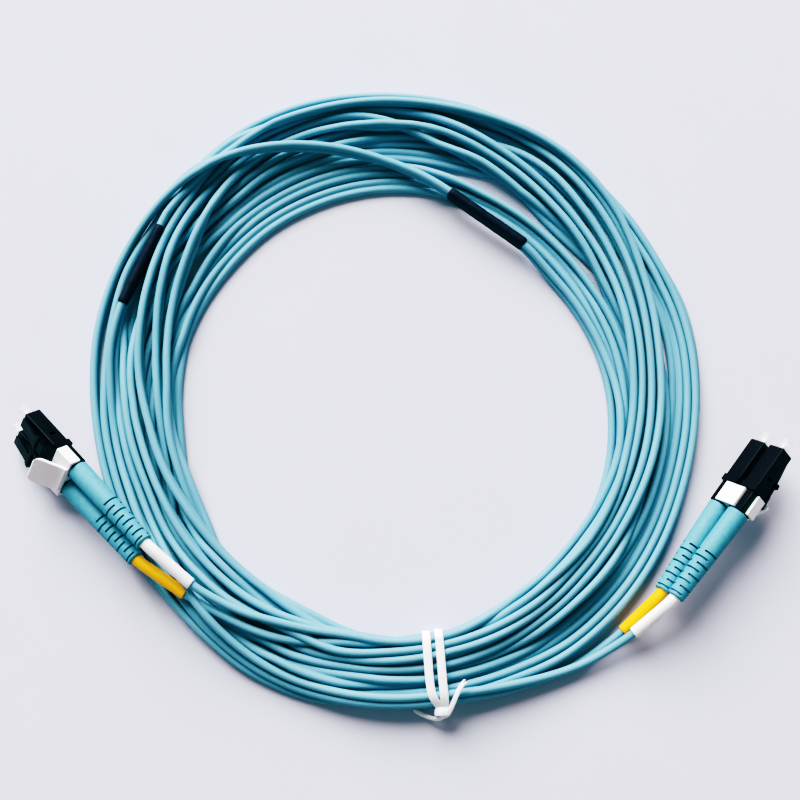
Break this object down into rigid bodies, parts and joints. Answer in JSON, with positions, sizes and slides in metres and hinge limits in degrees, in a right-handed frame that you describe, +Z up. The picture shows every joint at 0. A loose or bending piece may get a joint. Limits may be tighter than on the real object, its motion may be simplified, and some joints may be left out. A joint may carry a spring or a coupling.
{
  "type": "fibre optic patch cord",
  "caption": "Coiled aqua duplex fibre optic patch cord with sprung LC plugs, slotted boots, coloured marker sleeves, dust caps and a white plastic tie round the coil",
  "frame": {"origin": "middle of the whole object's box, on the surface that it lies on", "axes": "+Z up, +X from the left plugs to the right plugs, +Y from the tied side to the far side of the coil"},
  "size_m": [0.1956, 0.1606, 0.0157],
  "materials": {
    "plug_black": "fine moulded satin",
    "clip_white": "smooth moulded",
    "boot_aqua": "soft satin",
    "cord_aqua": "extruded satin jacket",
    "marker_white": "satin sleeve",
    "marker_yellow": "satin sleeve",
    "ferrule_ceramic": "ground and polished",
    "holder_metal": "turned",
    "spring_steel": "drawn wire",
    "crimp_metal": "plated",
    "cap_clear": "translucent moulded",
    "shrink_black": "shrunk satin",
    "tie_white": "smooth strip"
  },
  "bodies": {
    "cord": {"housing_left_upper": "plug_black", "rear_body_left_upper": "plug_black", "crimp_sleeve_left_upper": "crimp_metal", "boot_left_upper": "boot_aqua", "leg_left_upper": "cord_aqua", "marker_sleeve_left_upper": "marker_white", "spring_left_upper": "spring_steel", "housing_left_lower": "plug_black", "rear_body_left_lower": "plug_black", "crimp_sleeve_left_lower": "crimp_metal", "boot_left_lower": "boot_aqua", "leg_left_lower": "cord_aqua", "marker_sleeve_left_lower": "marker_yellow", "spring_left_lower": "spring_steel", "duplex_clip_left": "clip_white", "heat_shrink_left": "shrink_black", "housing_right_lower": "plug_black", "rear_body_right_lower": "plug_black", "crimp_sleeve_right_lower": "crimp_metal", "boot_right_lower": "boot_aqua", "leg_right_lower": "cord_aqua", "marker_sleeve_right_lower": "marker_yellow", "spring_right_lower": "spring_steel", "housing_right_upper": "plug_black", "rear_body_right_upper": "plug_black", "crimp_sleeve_right_upper": "crimp_metal", "boot_right_upper": "boot_aqua", "leg_right_upper": "cord_aqua", "marker_sleeve_right_upper": "marker_white", "spring_right_upper": "spring_steel", "duplex_clip_right": "clip_white", "heat_shrink_right": "shrink_black", "cord_coil": "cord_aqua", "coil_tie": "tie_white"},
    "latch_left_upper_arm": {"latch_left_upper": "plug_black"},
    "ferrule_left_upper_train": {"ferrule_left_upper": "ferrule_ceramic", "ferrule_holder_left_upper": "holder_metal"},
    "dust_cap_left_upper_off": {"dust_cap_left_upper": "cap_clear"},
    "latch_left_lower_arm": {"latch_left_lower": "plug_black"},
    "ferrule_left_lower_train": {"ferrule_left_lower": "ferrule_ceramic", "ferrule_holder_left_lower": "holder_metal"},
    "dust_cap_left_lower_off": {"dust_cap_left_lower": "cap_clear"},
    "trigger_left_lever": {"trigger_left": "clip_white"},
    "latch_right_lower_arm": {"latch_right_lower": "plug_black"},
    "ferrule_right_lower_train": {"ferrule_right_lower": "ferrule_ceramic", "ferrule_holder_right_lower": "holder_metal"},
    "dust_cap_right_lower_off": {"dust_cap_right_lower": "cap_clear"},
    "latch_right_upper_arm": {"latch_right_upper": "plug_black"},
    "ferrule_right_upper_train": {"ferrule_right_upper": "ferrule_ceramic", "ferrule_holder_right_upper": "holder_metal"},
    "dust_cap_right_upper_off": {"dust_cap_right_upper": "cap_clear"},
    "trigger_right_lever": {"trigger_right": "clip_white"}
  },
  "joints": [
    {"name": "latch_left_upper_flex", "type": "hinge", "parent": "cord", "child": "latch_left_upper_arm", "pos_m": [-0.09279, -0.00948, 0.00965], "axis": [0.4344, 0.5532, 0.7108], "range_deg": [0, 6], "stiffness_Nm_per_rad": 0.02},
    {"name": "ferrule_left_upper_push", "type": "slide", "parent": "cord", "child": "ferrule_left_upper_train", "axis": [0.6913, -0.7107, 0.1305], "range_m": [0, 0.0012], "stiffness_N_per_m": 300, "deforming": ["spring_left_upper"]},
    {"name": "dust_cap_left_upper_pull", "type": "slide", "parent": "cord", "child": "dust_cap_left_upper_off", "axis": [-0.6913, 0.7107, -0.1305], "range_m": [0, 0.012]},
    {"name": "latch_left_lower_flex", "type": "hinge", "parent": "cord", "child": "latch_left_lower_arm", "pos_m": [-0.09551, -0.01294, 0.00521], "axis": [0.4344, 0.5532, 0.7108], "range_deg": [0, 6], "stiffness_Nm_per_rad": 0.02},
    {"name": "ferrule_left_lower_push", "type": "slide", "parent": "cord", "child": "ferrule_left_lower_train", "axis": [0.6913, -0.7107, 0.1305], "range_m": [0, 0.0012], "stiffness_N_per_m": 300, "deforming": ["spring_left_lower"]},
    {"name": "dust_cap_left_lower_pull", "type": "slide", "parent": "cord", "child": "dust_cap_left_lower_off", "axis": [-0.6913, 0.7107, -0.1305], "range_m": [0, 0.012]},
    {"name": "trigger_left_press", "type": "hinge", "parent": "cord", "child": "trigger_left_lever", "pos_m": [-0.08267, -0.02373, 0.01016], "axis": [-0.4344, -0.5532, -0.7108], "range_deg": [0, 12], "stiffness_Nm_per_rad": 0.04},
    {"name": "latch_right_lower_flex", "type": "hinge", "parent": "cord", "child": "latch_right_lower_arm", "pos_m": [0.09257, -0.01636, 0.00424], "axis": [-0.5209, 0.3936, -0.7575], "range_deg": [0, 6], "stiffness_Nm_per_rad": 0.02},
    {"name": "ferrule_right_lower_push", "type": "slide", "parent": "cord", "child": "ferrule_right_lower_train", "axis": [-0.6029, -0.7978, 0], "range_m": [0, 0.0012], "stiffness_N_per_m": 300, "deforming": ["spring_right_lower"]},
    {"name": "dust_cap_right_lower_pull", "type": "slide", "parent": "cord", "child": "dust_cap_right_lower_off", "axis": [0.6029, 0.7978, 0], "range_m": [0, 0.012]},
    {"name": "latch_right_upper_flex", "type": "hinge", "parent": "cord", "child": "latch_right_upper_arm", "pos_m": [0.09582, -0.01882, 0.00897], "axis": [-0.5209, 0.3936, -0.7575], "range_deg": [0, 6], "stiffness_Nm_per_rad": 0.02},
    {"name": "ferrule_right_upper_push", "type": "slide", "parent": "cord", "child": "ferrule_right_upper_train", "axis": [-0.6029, -0.7978, 0], "range_m": [0, 0.0012], "stiffness_N_per_m": 300, "deforming": ["spring_right_upper"]},
    {"name": "dust_cap_right_upper_pull", "type": "slide", "parent": "cord", "child": "dust_cap_right_upper_off", "axis": [0.6029, 0.7978, 0], "range_m": [0, 0.012]},
    {"name": "trigger_right_press", "type": "hinge", "parent": "cord", "child": "trigger_right_lever", "pos_m": [0.08425, -0.03163, 0.00615], "axis": [0.5209, -0.3936, 0.7575], "range_deg": [0, 12], "stiffness_Nm_per_rad": 0.04}
  ],
  "couplings": [
    {"joint": "latch_left_upper_flex", "follows": "trigger_left_press", "ratio": 0.5},
    {"joint": "latch_left_lower_flex", "follows": "trigger_left_press", "ratio": 0.5},
    {"joint": "latch_right_lower_flex", "follows": "trigger_right_press", "ratio": 0.5},
    {"joint": "latch_right_upper_flex", "follows": "trigger_right_press", "ratio": 0.5}
  ]
}
